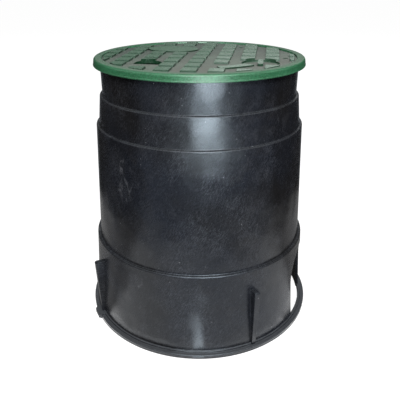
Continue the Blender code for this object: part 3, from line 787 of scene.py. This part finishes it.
def green_plastic():
    """Green polyethylene: dust lies on the flat floor, the pads are rubbed, the sides stay clean, and
    painted shade darkens the pads' walls, the corners and the far side.
    """
    n = Nodes("green_polyethylene")
    x, y, z = n.split(n.place)
    facing = n.facing_up()
    up = n.mapped(facing, 0.75, 0.97)
    flat = n.mapped(facing, 0.90, 0.99)
    steep = n.mapped(facing, 0.25, 0.80, 1.0, 0.0)
    broad = n.noise(n.place, 30.0, 3.0, 0.6)
    grain = n.noise(n.place, 900.0, 3.0, 0.7)
    speckle = n.noise(n.place, 2600.0, 2.0, 0.6)

    # Where the tread's floor is, and what lies inside the raised border
    floor_z = (NECK_TOP_Z + FLOOR_TOP) * MM
    on_floor = n.mapped(z, floor_z + 0.0002, floor_z + 0.0009, 1.0, 0.0)
    reach = n.add("ShaderNodeVectorMath", operation="LENGTH")
    n.feed(reach.inputs[0], n.stretched((1.0, 1.0, 0.0)))
    inside = n.mapped(reach.outputs["Value"], TREAD_DUST_R, BORDER_DUST_R, 1.0, 0.0)

    # Two greens, paler where the top is rubbed
    colour = n.mix(n.mapped(broad, 0.35, 0.65), (0.011, 0.094, 0.035), (0.018, 0.124, 0.050))
    colour = n.mix(n.times(n.mapped(grain, 0.45, 0.7), 0.4), colour, (0.055, 0.21, 0.11))
    worn = n.times(up, n.mapped(grain, 0.25, 0.75, 0.35, 0.8))
    worn = n.times(worn, n.plus(n.times(inside, 0.8), 0.2))
    colour = n.mix(worn, colour, (0.085, 0.160, 0.110))

    # Dust on the floor and on the border, darkened towards the far and left side by painted shade
    dusty = n.calculate("MAXIMUM", on_floor, n.mapped(inside, 0.0, 1.0, 0.6, 0.0))
    dust = n.times(n.times(flat, dusty), n.mapped(broad, 0.2, 0.7, 0.65, 0.95))
    # Painted shade: the dust's colour darkens towards the far and left side of the lid
    painted_far_shade = n.plus(n.times(y, 0.8), n.times(x, -0.5))
    painted_far_shade = n.mapped(n.plus(painted_far_shade, n.times(broad, 0.05)), -0.03, 0.09)
    colour = n.mix(dust, colour, n.mix(painted_far_shade, (0.064, 0.066, 0.053), (0.008, 0.013, 0.009)))

    # Painted shade on the sides of the pads, dark grain on the rim, painted shade in the corners, and
    # pale specks
    # Painted shade: the walls inside the tread are coloured dark green as if in shadow
    colour = n.mix(n.times(n.times(steep, inside), 0.85), colour, (0.003, 0.022, 0.009))
    rim_grain = n.times(n.mapped(grain, 0.52, 0.36, 0.0, 0.8), n.times(steep, 0.8))
    colour = n.mix(rim_grain, colour, (0.004, 0.045, 0.016))
    # Painted shade: corners and crevices are darkened from ambient occlusion
    crevice = n.add("ShaderNodeAmbientOcclusion", samples=8, only_local=True)
    crevice.inputs["Distance"].default_value = 0.0028
    painted_crevice_shade = n.mapped(crevice.outputs["AO"], 0.30, 0.85, 0.92, 0.0)
    colour = n.mix(painted_crevice_shade, colour, (0.007, 0.018, 0.010))
    colour = n.mix(n.times(n.mapped(speckle, 0.60, 0.74), 0.45), colour, (0.30, 0.38, 0.32))

    rough = n.mapped(grain, 0.3, 0.7, 0.28, 0.42)
    rough = n.plus(rough, n.times(worn, -0.08))
    rough = n.plus(rough, n.times(dust, 0.45))
    rough = n.plus(rough, n.times(flat, n.mapped(inside, 0.0, 1.0, 0.25, 0.0)))
    normal = n.bump(grain, 0.12, 0.0006, n.rounded(0.0003))
    return n.finish(colour, rough, normal, 0.4)


def seen_directly(tree):
    """1 for camera, glossy and transmission rays, which meet the white studio, and 0 for the rest."""
    path = tree.nodes.new("ShaderNodeLightPath")
    value = path.outputs["Is Camera Ray"]
    for name in ("Is Glossy Ray", "Is Transmission Ray"):
        either = tree.nodes.new("ShaderNodeMath")
        either.operation = "MAXIMUM"
        tree.links.new(value, either.inputs[0])
        tree.links.new(path.outputs[name], either.inputs[1])
        value = either.outputs[0]
    return value


def empty_material(name):
    """A material without a shader, as its node tree and the socket to feed."""
    material = bpy.data.materials.new(name)
    material.use_nodes = True
    tree = material.node_tree
    tree.nodes.remove(tree.nodes["Principled BSDF"])
    return material, tree, tree.nodes["Material Output"].inputs["Surface"]


def glow(tree, colour, strength):
    node = tree.nodes.new("ShaderNodeEmission")
    node.inputs["Color"].default_value = (*colour, 1.0)
    node.inputs["Strength"].default_value = strength
    return node.outputs[0]


def diffuse(tree, grey):
    node = tree.nodes.new("ShaderNodeBsdfDiffuse")
    node.inputs["Color"].default_value = (grey, grey, grey, 1.0)
    return node.outputs[0]


def floor_material():
    """A pale floor that reads white to the camera and to gloss, and keeps a soft shadow."""
    material, tree, surface = empty_material("pale_floor")
    white = tree.nodes.new("ShaderNodeAddShader")
    tree.links.new(glow(tree, WHITE, FLOOR_GLOW), white.inputs[0])
    tree.links.new(diffuse(tree, FLOOR_SHADOW_GREY), white.inputs[1])
    choice = tree.nodes.new("ShaderNodeMixShader")
    tree.links.new(seen_directly(tree), choice.inputs[0])
    tree.links.new(diffuse(tree, FLOOR_GREY), choice.inputs[1])
    tree.links.new(white.outputs[0], choice.inputs[2])
    tree.links.new(choice.outputs[0], surface)
    return material


def reflection_card(name, azimuths, foot, top, strength, colour):
    """A curved card that only gloss sees, between two azimuths and two (radius, height) rings."""
    start, end = azimuths
    steps = max(2, round(abs(end - start) / CARD_STEP))
    shape = bmesh.new()
    pairs = []
    for i in range(steps + 1):
        a = CAMERA_AZIMUTH + math.radians(start + (end - start) * i / steps)
        ends = [shape.verts.new((r * math.sin(a), -r * math.cos(a), z)) for r, z in (foot, top)]
        pairs.append(ends)
    for (low_a, high_a), (low_b, high_b) in zip(pairs, pairs[1:]):
        shape.faces.new((low_a, low_b, high_b, high_a))
    card = link(name, shape)
    material, tree, surface = empty_material(name)
    tree.links.new(glow(tree, colour, strength), surface)
    card.data.materials.append(material)
    card.visible_camera = False
    card.visible_diffuse = False
    card.visible_transmission = False
    card.visible_shadow = False


def shaded_ground():
    """The ground inside the body, which lies in its shade."""
    shape = bmesh.new()
    ring = []
    for i in range(round(360.0 / SHADE_STEP)):
        angle = SHADE_STEP * i - 180.0
        opening = OPENING_START < angle < OPENING_END or abs(angle) > FAR_OPENING
        reach = SHADE_OPENING_R if opening else SHADE_R
        ring.append(shape.verts.new((*arc(0, 0, reach, angle, angle, 1)[0], SHADE_Z)))
    shape.faces.new(ring)
    shaded = link("shaded_ground", shape)
    dull = bpy.data.materials.new("shaded_ground")
    dull.use_nodes = True
    shader = dull.node_tree.nodes["Principled BSDF"]
    shader.inputs["Base Color"].default_value = (*SHADE_COLOUR, 1.0)
    shader.inputs["Roughness"].default_value = SHADE_ROUGHNESS
    shaded.data.materials.append(dull)


def make_stage():
    """The floor, the shade inside the body and the cards."""
    shape = bmesh.new()
    bmesh.ops.create_grid(shape, x_segments=1, y_segments=1, size=FLOOR_SIZE)
    floor = link("studio_floor", shape)
    floor.data.materials.append(floor_material())
    shaded_ground()
    for card in CARDS:
        reflection_card(*card)


def area_light(name, azimuth, distance, height, size, power):
    """A softbox turned to the object."""
    data = bpy.data.lights.new(name, "AREA")
    data.shape = "RECTANGLE"
    data.size, data.size_y = size
    data.energy = power
    light = bpy.data.objects.new(name, data)
    bpy.context.scene.collection.objects.link(light)
    a = CAMERA_AZIMUTH + math.radians(azimuth)
    light.location = (distance * math.sin(a), -distance * math.cos(a), height)
    light.visible_camera = False
    light.rotation_euler = (Vector(LAMP_TARGET) - light.location).to_track_quat("-Z", "Y").to_euler()


def make_lights():
    """Softboxes, and a world that is white where it is seen and dimmer as a light."""
    for lamp in LAMPS:
        area_light(*lamp)
    world = bpy.data.worlds.new("studio")
    bpy.context.scene.world = world
    world.use_nodes = True
    tree = world.node_tree
    background = tree.nodes["Background"]
    background.inputs["Color"].default_value = (*WHITE, 1.0)
    strength = tree.nodes.new("ShaderNodeMapRange")
    strength.inputs["To Min"].default_value = WORLD_LIGHT
    strength.inputs["To Max"].default_value = 1.0
    tree.links.new(seen_directly(tree), strength.inputs["Value"])
    tree.links.new(strength.outputs[0], background.inputs["Strength"])


def make_camera():
    """The photograph's view."""
    data = bpy.data.cameras.new("photo_view")
    camera = bpy.data.objects.new("photo_view", data)
    bpy.context.scene.collection.objects.link(camera)
    a = CAMERA_AZIMUTH
    camera.location = (CAMERA_DISTANCE * math.sin(a), -CAMERA_DISTANCE * math.cos(a), CAMERA_HEIGHT)
    camera.rotation_euler = (math.radians(90.0) - CAMERA_PITCH, 0.0, a)
    data.lens = CAMERA_LENS
    data.sensor_width = 36.0
    data.shift_x = CAMERA_SHIFT
    bpy.context.scene.camera = camera


make_camera()
make_stage()
make_lights()
body = make_body(black_plastic())
lid = make_lid(green_plastic())
for piece, node, slot in ((body, "box_body", "body_plastic"), (lid, "lid", "lid_plastic")):
    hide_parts(node)
    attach(piece, "root")
bpy.context.scene.view_settings.view_transform = "Standard"
